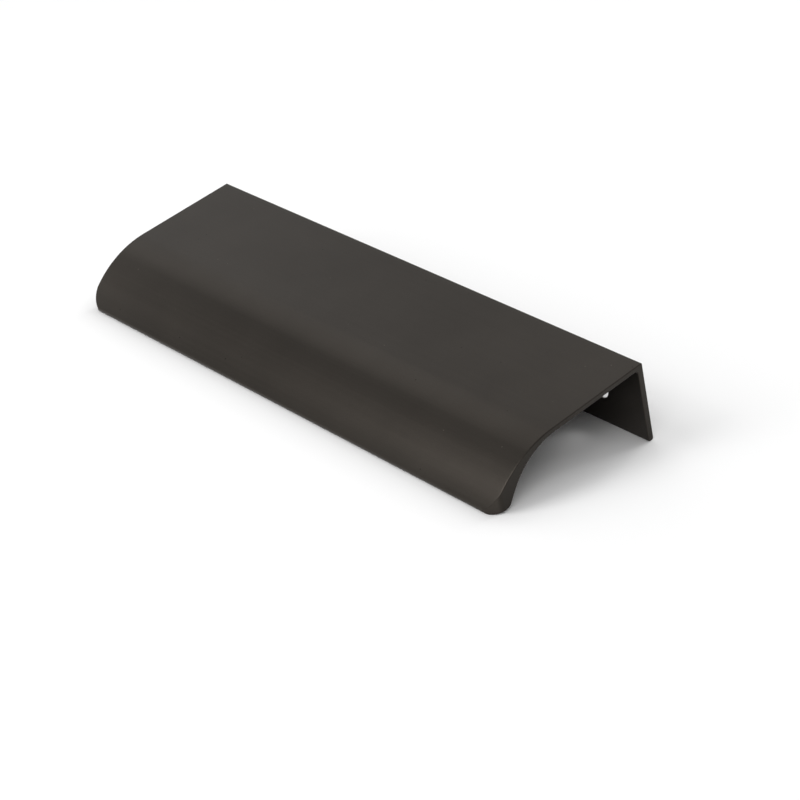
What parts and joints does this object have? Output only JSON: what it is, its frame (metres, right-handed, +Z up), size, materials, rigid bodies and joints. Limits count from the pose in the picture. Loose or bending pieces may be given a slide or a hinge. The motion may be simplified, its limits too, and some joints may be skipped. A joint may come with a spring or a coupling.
{
  "type": "finger pull profile",
  "caption": "Extruded finger pull for a handleless door: a cover plate on the door's edge, a screwed back flange and a curved lip with rounded corners.",
  "frame": {"origin": "bottom centre of the profile as it lies on a level floor", "axes": "+X along the length of the stock, the pull lip towards -Y and the back flange towards +Y, +Z up. The cover plate falls towards the lip, because the part lies on its nose and on the flange's toe."},
  "size_m": [0.12, 0.0402, 0.0168],
  "materials": {
    "anodised_aluminium": "satin, anodised dark bronze"
  },
  "bodies": {
    "root": {"finger_pull_profile": "anodised_aluminium"}
  },
  "joints": []
}
